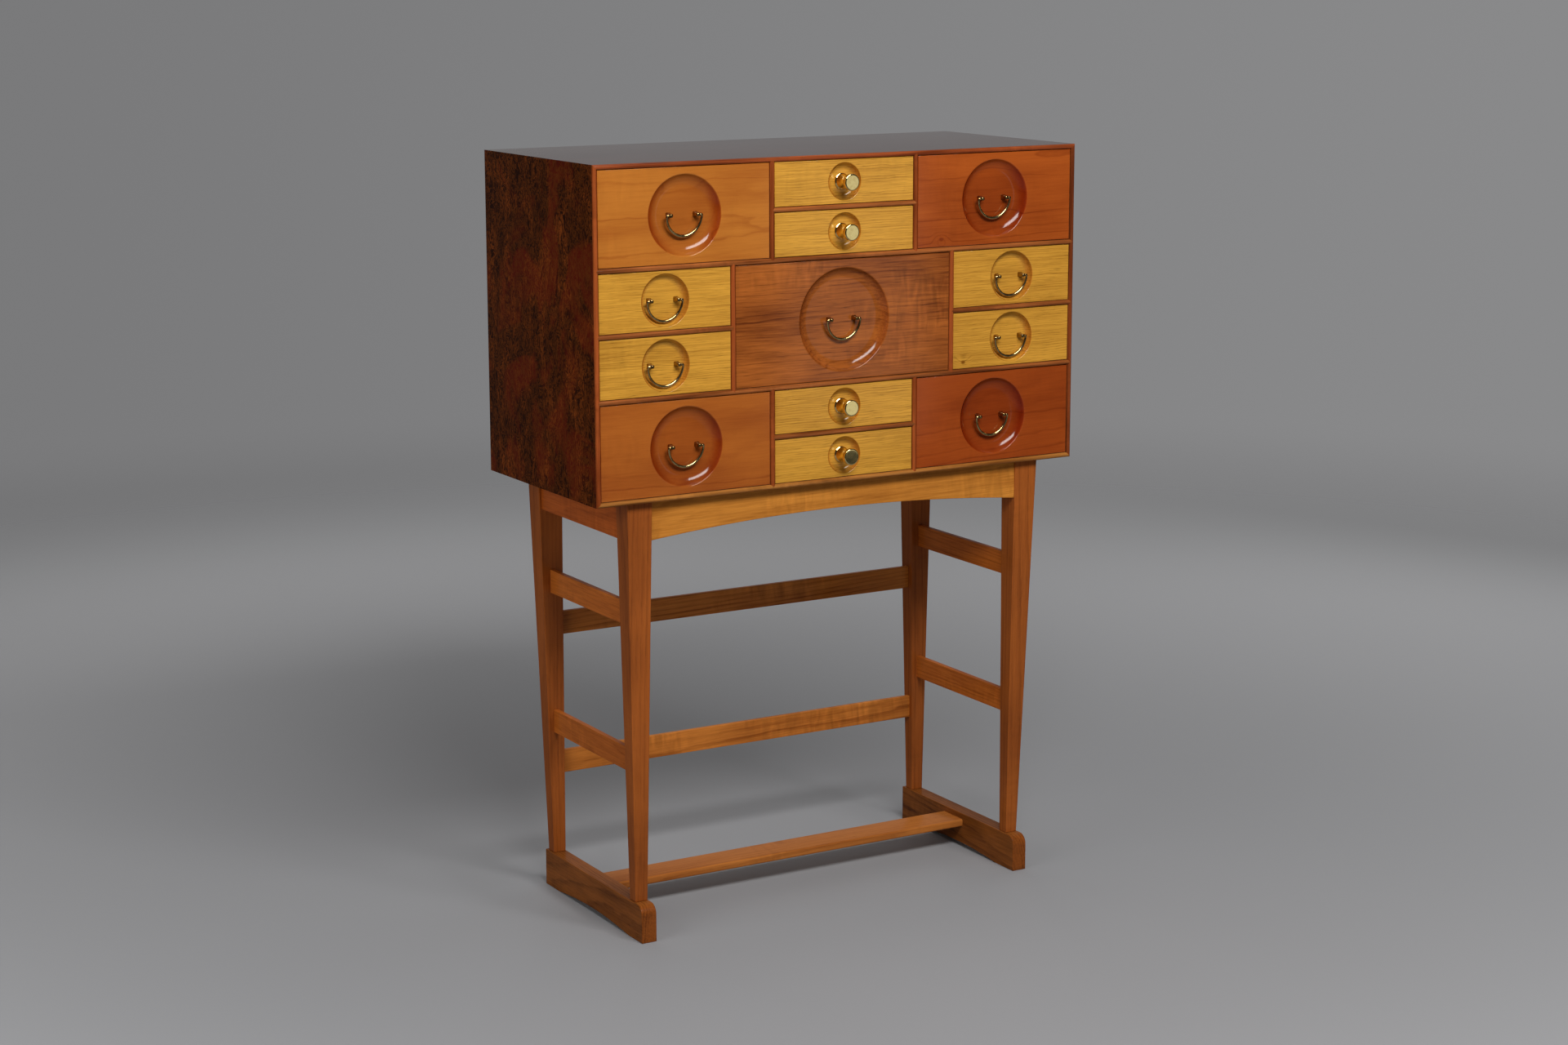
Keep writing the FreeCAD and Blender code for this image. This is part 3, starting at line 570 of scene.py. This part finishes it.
# ------------------------------------------------------------ back panel
# A plain panel between the boards, a little inside their rear edges, with its grain level.
back_wood = wood("back_panel_wood", (150, 92, 50), (112, 62, 32), "X", (0.0, 0.3, 0.9), (0.01, 0.0), coat=0.15,
                 Ring_Width=0.009, Wander=0.04, Rings=0.4, Fibres=0.35, Pores=0.3, Sheen=0.5)
for material_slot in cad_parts["case_back"].material_slots:
    material_slot.material = back_wood

# ------------------------------------------------------------ drawer boxes
# Thirteen boxes of pale wood: dovetailed sides, and a back and a bottom held in grooves.
box_wood = wood("drawer_box_wood", (214, 178, 128), (182, 138, 88), "Y", (0.15, 0.0, 0.7), (0.02, 0.01), coat=0.05,
                relief=0.2, Ring_Width=0.006, Wander=0.03, Rings=0.35, Fibres=0.35, Pores=0.3, Sheen=0.5)
for node_name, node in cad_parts.items():
    if node_name.startswith("box_"):
        for material_slot in node.material_slots:
            material_slot.material = box_wood

# ------------------------------------------------------------ drawer fronts
# Each front is one thick board with a round dish turned in it: a flat floor inside a
# cove, and a crisp rim. The large ones differ in colour; the eight small ones are oak.
FACE = CASE_FRONT + 0.0032
front_finish = dict(coat=0.6, coat_roughness=0.11, level=0.0, relief=0.04, Sheen=0.4)
# The corner fronts get painted shade inside their dishes.
corner_figure = dict(Ring_Width=0.012, Wander=0.045, Rings=0.40, Fibres=0.20, Pores=0.12, Ripple=0.08, Blotches=0.45,
                     Waver=0.5, Line=0.72, turned_from=FACE, **front_finish)
front_woods = {
    "top_left": wood("front_wood_top_left", (179, 109, 41), (140, 68, 21), "X", (0.1, -0.30, 1.13),
                     (0.01, 0.03), **corner_figure),
    "bottom_left": wood("front_wood_bottom_left", (168, 93, 34), (126, 56, 20), "X", (0.3, -0.28, 0.80),
                        (-0.02, 0.04), **corner_figure),
    "top_right": wood("front_wood_top_right", (166, 80, 27), (118, 46, 13), "X", (0.3, -0.215, 1.22),
                      (0.02, -0.02), knot=(0.181, FACE, 1.0825), **corner_figure),
    "bottom_right": wood("front_wood_bottom_right", (152, 68, 22), (110, 40, 12), "X", (-0.2, -0.24, 0.84),
                         (0.03, 0.03), **corner_figure),
    "centre": wood("front_wood_centre", (168, 93, 36), (92, 40, 14), "X", (0.0, -0.04, 0.52), (-0.01, 0.03),
                   Ring_Width=0.0085, Wander=0.06, Rings=0.27, Fibres=0.36, Pores=0.36, Pore_Size=1.5, Ripple=0.52,
                   Blotches=0.5, Waver=0.5, Line=0.6, Drink=0.4, **front_finish),
    "oak": wood("front_wood_oak", (209, 152, 56), (120, 70, 14), "X", (0.1, -0.12, -0.2), (0.0, 0.012),
                Ring_Width=0.0037, Wander=0.02, Rings=0.26, Fibres=0.32, Pores=0.42, Pore_Size=1.1, Ripple=0.08,
                Blotches=0.2, Waver=1.8, Drink=0.6, coat=0.5, coat_roughness=0.14, level=0.0, relief=0.12, Sheen=0.42,
                knot=(0.225, FACE, 0.881)),
}
dishes = {"corner": (0.0626, 0.0110, 0.0200, 0.0028), "centre": (0.0819, 0.0110, 0.0180, 0.0028),
          "small": (0.0405, 0.0105, 0.0115, 0.0018), "knob": (0.0292, 0.0105, 0.0115, 0.0018)}
AROUND = 96
centres = {}


def dish_profile(kind):
    """Radius and depth from the flat of the front, over the rim and down the cove to the floor."""
    rim, depth, wall, lip = dishes[kind]
    cove = (wall ** 2 + depth ** 2) / (2 * depth)
    steep = math.acos((cove - depth) / cove)
    points = [(rim + lip, 0.0)]
    for i in range(7):
        turn = steep * i / 6
        points.append((rim + lip * math.tan(steep / 2) - lip * math.sin(turn), lip * (1 - math.cos(turn))))
    low_turn = steep * 0.96
    for i in range(15):
        turn = low_turn * (1 - i / 14)
        points.append((rim - wall + cove * math.sin(turn), depth - cove * (1 - math.cos(turn))))
    points += [(points[-1][0] * share, depth) for share in (0.94, 0.6, 0.25)]
    return points


def turned_front(name, kind):
    """The sawn front with its corners eased and its dish turned smooth."""
    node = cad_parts["front_" + name]
    low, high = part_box("front_" + name)
    x, z = (low.x + high.x) / 2, (low.z + high.z) / 2
    centres[name] = (x, z, FACE + dishes[kind][1])
    shape = bmesh.new()
    shape.from_mesh(node.data)
    bmesh.ops.remove_doubles(shape, verts=shape.verts, dist=1e-6)
    facing = [face for face in shape.faces if face.normal.y < -0.02]
    bmesh.ops.delete(shape, geom=facing, context="FACES")
    ease = 0.0007
    corners = [(low.x, low.z), (high.x, low.z), (high.x, high.z), (low.x, high.z)]
    for v in shape.verts:
        if abs(v.co.y - FACE) < 1e-5:
            v.co.y = FACE + ease
    loops = []
    for i in range(5):
        turn = math.pi / 2 * i / 4
        loops.append((ease * (1 - math.cos(turn)), FACE + ease * (1 - math.sin(turn))))
    loops.append((ease + 0.0008, FACE))
    rings = []
    for inset, y in loops:
        rings.append([shape.verts.new((a + math.copysign(inset, x - a), y, b + math.copysign(inset, z - b)))
                      for a, b in corners])
    for outer, inner in zip(rings, rings[1:]):
        for i in range(4):
            shape.faces.new((outer[i - 1], outer[i], inner[i], inner[i - 1]))
    circles = []
    for radius, depth in dish_profile(kind):
        circles.append([shape.verts.new((x + radius * math.cos(t), FACE + depth, z + radius * math.sin(t)))
                        for t in (2 * math.pi * i / AROUND for i in range(AROUND))])
    for outer, inner in zip(circles, circles[1:]):
        for i in range(AROUND):
            shape.faces.new((outer[i - 1], outer[i], inner[i], inner[i - 1]))
    middle = shape.verts.new((x, FACE + dishes[kind][1], z))
    for i in range(AROUND):
        shape.faces.new((circles[-1][i - 1], circles[-1][i], middle))
    quarter = AROUND // 4
    for k, corner in enumerate(rings[-1]):
        first = (k + 2) * quarter
        shape.faces.new((corner, rings[-1][k - 1], circles[0][first % AROUND]))
        for i in range(first, first + quarter):
            shape.faces.new((corner, circles[0][i % AROUND], circles[0][(i + 1) % AROUND]))
    bmesh.ops.remove_doubles(shape, verts=shape.verts, dist=1e-6)
    bmesh.ops.recalc_face_normals(shape, faces=shape.faces)
    mesh = bpy.data.meshes.new("front_" + name)
    shape.to_mesh(mesh)
    shape.free()
    return mesh


kinds = {"centre": "centre"}
for column in ("left", "right"):
    kinds.update({"top_" + column: "corner", "bottom_" + column: "corner"})
    kinds.update({"middle_" + column + "_lower": "small", "middle_" + column + "_upper": "small"})
for row in ("top", "bottom"):
    kinds.update({row + "_centre_lower": "knob", row + "_centre_upper": "knob"})
for name, kind in kinds.items():
    front = finished("front_turned_" + name, turned_front(name, kind),
                     [front_woods.get(name, front_woods["oak"])], math.radians(28))
    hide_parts("front_" + name)
    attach(front, "drawer_" + name)

# ------------------------------------------------------------ brass
# Posts, bails and knobs are of solid brass. The knobs are polished bright; the bails
# have gone brown with age. The posts are the roughest, and their colour is painted darker
# for the dark reflections and shade they catch down in the dish: painted shade and reflection.
# PATCHES and SCUFFS tell how many of each come to a metre.
PATCHES, SCUFFS = 160.0, 1400.0
tarnish, film, done = new_group("tarnish", [
    ("Place", "place", None), ("Fresh", "colour", None), ("Aged", "colour", None), ("Dullness", "value", None)],
    [("Colour", "colour"), ("Roughness", "value"), ("Height", "value")])
age = noise(tarnish, stretch(tarnish, film["Place"], PATCHES, PATCHES, PATCHES))
wire(tarnish, done["Colour"], shade(tarnish, between(tarnish, age, 0.4, 0.75), film["Fresh"], film["Aged"]))
wire(tarnish, done["Roughness"], work(tarnish, "ADD", film["Dullness"], work(tarnish, "MULTIPLY", age, 0.08)))
wire(tarnish, done["Height"], noise(tarnish, stretch(tarnish, film["Place"], SCUFFS, SCUFFS, SCUFFS)))


def brass_finish(name, fresh, aged, dullness):
    """Polished brass whose tarnish comes in soft patches."""
    material, tree, shader = new_material(name, 0.0)
    node = tree.nodes.new("ShaderNodeGroup")
    node.node_tree = tarnish
    here = place(tree, "ShaderNodeTexCoord").outputs["Object"]
    for label, value in (("Place", here), ("Fresh", tone(*fresh)), ("Aged", tone(*aged)), ("Dullness", dullness)):
        wire(tree, node.inputs[label], value)
    scuffs = place(tree, "ShaderNodeBump", Strength=0.003, Distance=0.0001, Height=node.outputs["Height"])
    wire(tree, shader.inputs["Base Color"], node.outputs["Colour"])
    wire(tree, shader.inputs["Roughness"], node.outputs["Roughness"])
    wire(tree, shader.inputs["Normal"], scuffs.outputs[0])
    shader.inputs["Metallic"].default_value = 1.0
    return material


bright_brass = brass_finish("bright_brass", (246, 224, 154), (238, 212, 142), 0.03)
aged_brass = brass_finish("aged_brass", (206, 180, 124), (150, 118, 68), 0.13)
# The posts' brass is painted darker for the shade and dark reflections in the dish: painted shade.
dull_shaded_brass = brass_finish("dull_shaded_brass", (166, 138, 88), (104, 78, 42), 0.16)

# ------------------------------------------------------------ posts
# Two posts stand on the floor of each dish. The foot is square and draws in to a
# small rounded head, which is bored for the pin of the bail.
PIVOT = 0.0095
# A post's middle lies inside the knuckle's end by the play and half the post's head.
KNUCKLE_END, PLAY, HALF_HEAD = 0.0267, 0.0004, 0.0031
POST_SPACING = 2 * (KNUCKLE_END - PLAY - HALF_HEAD)
pair_of_posts, pair, done = new_group("pair_of_posts", [
    ("Post", "shape", None), ("Spacing", "value", None), ("Brass", "finish", None)],
    [("Pair", "shape")], "GeometryNodeTree")
start = place(pair_of_posts, "ShaderNodeCombineXYZ", work(pair_of_posts, "MULTIPLY", pair["Spacing"], -0.5))
step = place(pair_of_posts, "ShaderNodeCombineXYZ", pair["Spacing"])
spots = place(pair_of_posts, "GeometryNodeMeshLine", Count=2, Start_Location=start.outputs[0], Offset=step.outputs[0])
posts = place(pair_of_posts, "GeometryNodeInstanceOnPoints", Points=spots.outputs[0], Instance=pair["Post"])
posts = place(pair_of_posts, "GeometryNodeRealizeInstances", posts.outputs[0])
posts = place(pair_of_posts, "GeometryNodeSetMaterial", Geometry=posts.outputs[0], Material=pair["Brass"])
wire(pair_of_posts, done["Pair"], posts.outputs[0])
pair_sockets = {item.name: item.identifier for item in pair_of_posts.interface.items_tree}


def post_rings(shape, x, z, floor):
    """Sections from the square foot (high power) to the round head (power two)."""
    profile = [(0.0, 4.2, 9.0), (0.8, 4.2, 9.0), (1.2, 4.05, 8.0), (2.4, 3.7, 7.0), (3.8, 3.35, 6.0),
               (5.2, 3.12, 4.5), (6.8, 3.1, 3.2), (9.5, 3.1, 2.8), (11.2, 2.95, 2.6), (12.0, 2.4, 2.4),
               (12.5, 1.5, 2.2), (12.6, 0.6, 2.0)]
    rings = []
    for height, half, power in profile:
        ring = []
        for i in range(32):
            t = 2 * math.pi * (i + 0.5) / 32
            c, s = math.cos(t), math.sin(t)
            reach = half / 1000 / (abs(c) ** power + abs(s) ** power) ** (1 / power)
            ring.append(shape.verts.new((x + reach * c, floor - height / 1000, z + reach * s)))
        rings.append(ring)
    closed_rings(shape, rings)


def metal(name, shape, brass, slot_body, node_name, spacing=None):
    """A brass piece that takes a node's place; with a spacing it stands twice, that far apart."""
    bmesh.ops.recalc_face_normals(shape, faces=shape.faces)
    mesh = bpy.data.meshes.new(name)
    shape.to_mesh(mesh)
    shape.free()
    thing = finished(name, mesh, [brass], math.radians(40))
    if spacing:
        twins = thing.modifiers.new("pair", "NODES")
        twins.node_group = pair_of_posts
        twins[pair_sockets["Spacing"]] = spacing
        twins[pair_sockets["Brass"]] = brass
        made_plain(thing)
    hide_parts(node_name)
    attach(thing, slot_body)


for name, kind in kinds.items():
    if kind != "knob":
        x, z, floor = centres[name]
        shape = bmesh.new()
        post_rings(shape, x, z, floor)
        metal("posts_turned_" + name, shape, dull_shaded_brass, "drawer_" + name, "posts_" + name, POST_SPACING)

# ------------------------------------------------------------ bails
# A drawn brass bar, thick in the middle and thin at its ends, bent to a half oval. The
# ends turn in to small knuckles, and a pin in each runs through the head of its post.
BOW_RADIUS, BOW_THINNING, PIN_RADIUS = 0.0027, 0.00085, 0.0014
BOW_HALF, BOW_DROP, LEAN = 0.0330 - BOW_RADIUS, 0.0354 - BOW_RADIUS, math.radians(8)


def rod_rings(shape, path, radii, sides=18):
    """Round bar along points in the plane of the dish."""
    rings = []
    for i, here in enumerate(path):
        before, after = path[max(i - 1, 0)], path[min(i + 1, len(path) - 1)]
        along = (after - before).normalized()
        out = Vector((along.z, 0.0, -along.x))
        rings.append([shape.verts.new(here + radii[i] * (out * math.cos(t) + Vector((0, -math.sin(t), 0))))
                      for t in (2 * math.pi * k / sides for k in range(sides))])
    closed_rings(shape, rings)


def half_bow():
    """From the bottom of the bow to the end of its right arm, as (x, z, radius) in metres."""
    points = []
    for i in range(25):
        t = math.radians(90 - 3.55 * i)
        points.append((BOW_HALF * math.cos(t), -BOW_DROP * math.sin(t), BOW_RADIUS - BOW_THINNING * (i / 24) ** 1.6))
    for x, z, r in ((0.03025, -0.00120, 1.9), (0.02985, -0.00035, 2.0), (0.02920, 0.0, 2.15), (0.02850, 0.0, 2.3),
                    (0.02740, 0.0, 2.45), (0.02700, 0.0, 2.4), (0.02680, 0.0, 2.2), (KNUCKLE_END, 0.0, 1.8)):
        points.append((x, z, r / 1000))
    return points


for name, kind in kinds.items():
    if kind != "knob":
        x, z, floor = centres[name]
        y = floor - PIVOT
        shape = bmesh.new()
        arm = half_bow()
        whole = [(-a, c, r) for a, c, r in reversed(arm[1:])] + arm
        rod_rings(shape, [Vector((x + a, y, z + c)) for a, c, r in whole], [r for a, c, r in whole])
        for side in (-1, 1):
            rod_rings(shape, [Vector((x + side * a, y, z)) for a in (0.0271, 0.0255, 0.0232)], [PIN_RADIUS] * 3, 12)
        bmesh.ops.rotate(shape, verts=shape.verts, cent=(x, y, z), matrix=Matrix.Rotation(LEAN, 3, "X"))
        metal("bail_bent_" + name, shape, aged_brass, "bail_" + name, "bail_" + name)

# ------------------------------------------------------------ knobs
# Turned brass knobs for the shallow drawers: a thin flange and rounded shoulder, a
# narrow waist, and a broad cap with a flat face.
knob_profile = [(12.8, 0.0), (12.8, 1.2), (12.6, 1.6), (12.1, 1.85), (11.3, 2.2), (10.6, 3.0), (9.9, 4.2), (9.0, 5.6),
                (8.2, 7.4), (7.4, 9.6), (6.9, 11.8), (6.7, 14.5), (6.8, 17.5), (7.3, 20.0), (8.4, 22.4), (9.9, 24.3),
                (11.6, 25.5), (12.5, 25.9), (13.0, 26.4), (13.2, 27.2), (13.2, 32.0), (13.05, 32.7), (12.65, 33.2),
                (12.0, 33.45), (11.2, 33.5), (10.6, 33.5), (5.0, 33.5), (0.8, 33.5)]
for name, kind in kinds.items():
    if kind == "knob":
        x, z, floor = centres[name]
        shape = bmesh.new()
        rings = []
        for radius, height in knob_profile:
            rings.append([shape.verts.new((x + radius / 1000 * math.cos(t), floor - height / 1000,
                                           z + radius / 1000 * math.sin(t)))
                          for t in (2 * math.pi * i / 64 for i in range(64))])
        closed_rings(shape, rings)
        metal("knob_turned_" + name, shape, bright_brass, "drawer_" + name, "knob_" + name)

# ------------------------------------------------------------ room
# A pale floor that fades into the background; its paint grows paler away from the object,
# painted light that makes up for the lamps' falloff. One broad soft lamp stands high in
# front, weaker ones at the sides, behind and overhead, and a pale card for the brass.
# Mirrored rays meet a darker floor and a dark room in front, as polish shows them.
BACKGROUND, DARK = tone(128, 128, 129), tone(52, 52, 53)
# The backdrop seen straight on is darker at the left and paler at the right: painted shade and light.
LEFT_WALL, RIGHT_WALL = tone(121, 121, 122), tone(138, 138, 139)
floor_mesh = bpy.data.meshes.new("floor")
reach = 14.0
floor_mesh.from_pydata([(-reach, -reach, 0), (reach, -reach, 0), (reach, reach, 0), (-reach, reach, 0)], [],
                       [(0, 1, 2, 3)])
floor = bpy.data.objects.new("floor", floor_mesh)
bpy.context.scene.collection.objects.link(floor)
floor_paint = bpy.data.materials.new("floor_paint")
floor_paint.use_nodes = True
tree = floor_paint.node_tree
shader = tree.nodes["Principled BSDF"]
shader.inputs["Roughness"].default_value = 0.7
spot = place(tree, "ShaderNodeTexCoord").outputs["Object"]
far = place(tree, "ShaderNodeVectorMath", spot, operation="LENGTH").outputs["Value"]
clear = tree.nodes.new("ShaderNodeBsdfTransparent")
# Paler further from the object: painted light where the lamps' light falls off.
paint = shade(tree, between(tree, far, 0.7, 3.4), tone(149, 149, 151), tone(206, 206, 208))
rays = tree.nodes.new("ShaderNodeLightPath")
mirrored = work(tree, "MULTIPLY", rays.outputs["Is Glossy Ray"], 0.6)
wire(tree, shader.inputs["Base Color"], shade(tree, mirrored, paint, DARK))
fade = place(tree, "ShaderNodeMixShader", between(tree, far, 1.6, 5.0), shader.outputs[0], clear.outputs[0])
wire(tree, tree.nodes["Material Output"].inputs["Surface"], fade.outputs[0])
floor_mesh.materials.append(floor_paint)

world = bpy.data.worlds.new("room")
bpy.context.scene.world = world
world.use_nodes = True
tree = world.node_tree
even = tree.nodes["Background"]
even.inputs["Color"].default_value = (1.0, 1.0, 1.0, 1.0)
even.inputs["Strength"].default_value = 0.05
seen = place(tree, "ShaderNodeBackground", BACKGROUND, 1.0)
rays = tree.nodes.new("ShaderNodeLightPath")
shine = work(tree, "MAXIMUM", rays.outputs["Is Glossy Ray"], rays.outputs["Is Transmission Ray"])
around_us = place(tree, "ShaderNodeTexCoord").outputs["Generated"]
towards = place(tree, "ShaderNodeVectorMath", around_us, (0.47, 0.88, 0.0),
                operation="DOT_PRODUCT").outputs["Value"]
dimmed = shade(tree, between(tree, towards, 0.25, 0.85), DARK, BACKGROUND)
sideways = place(tree, "ShaderNodeVectorMath", around_us, (0.88, -0.47, 0.0),
                 operation="DOT_PRODUCT").outputs["Value"]
# Painted shade at the left of the backdrop and painted light at its right.
backdrop = shade(tree, between(tree, sideways, -0.3, 0.4), LEFT_WALL, RIGHT_WALL)
wire(tree, seen.inputs["Color"], shade(tree, shine, backdrop, dimmed))
direct = work(tree, "MAXIMUM", rays.outputs["Is Camera Ray"], shine)
mixed = place(tree, "ShaderNodeMixShader", direct, even.outputs[0], seen.outputs[0])
wire(tree, tree.nodes["World Output"].inputs["Surface"], mixed.outputs[0])


def lamp(name, spot, target, width, height, power, shows=True):
    """Flat soft lamp that faces a target; shows tells whether polished faces mirror it."""
    light = bpy.data.lights.new(name, "AREA")
    light.shape, light.size, light.size_y, light.energy = "RECTANGLE", width, height, power
    thing = bpy.data.objects.new(name, light)
    bpy.context.scene.collection.objects.link(thing)
    thing.location, thing.visible_glossy = spot, shows
    thing.rotation_euler = (Vector(target) - Vector(spot)).to_track_quat("-Z", "Y").to_euler()


lamp("front_lamp", (-0.20, -2.45, 2.90), (0.0, 0.0, 0.85), 2.3, 0.85, 107.0)
lamp("side_lamp", (-2.7, -0.7, 1.3), (-0.4, 0.0, 0.7), 1.8, 1.8, 23.0, False)
lamp("pale_card", (1.42, -2.45, 0.70), (0.0, 0.0, 0.9), 0.36, 0.76, 0.50)
lamp("back_lamp", (0.2, 3.0, 2.2), (0.0, 0.0, 0.8), 2.6, 2.0, 20.0, False)
lamp("right_lamp", (2.7, 1.0, 1.5), (0.4, 0.0, 0.7), 1.8, 1.8, 9.0, False)
lamp("overhead_lamp", (0.3, 0.4, 3.6), (0.0, 0.0, 0.6), 2.2, 2.2, 12.0)

camera = bpy.data.cameras.new("view")
camera.sensor_width = 36.0
camera.lens = 3509.35 / 1920 * camera.sensor_width
camera.shift_y = -0.03
eye = bpy.data.objects.new("view", camera)
bpy.context.scene.collection.objects.link(eye)
eye.matrix_world = (Matrix.Translation((-2.34440, -3.99553, 1.54475)) @ Matrix.Rotation(-0.52947, 4, "Z")
                    @ Matrix.Rotation(1.38789, 4, "X") @ Matrix.Rotation(-0.00193, 4, "Z"))
bpy.context.scene.camera = eye
bpy.context.scene.view_settings.view_transform = "Standard"
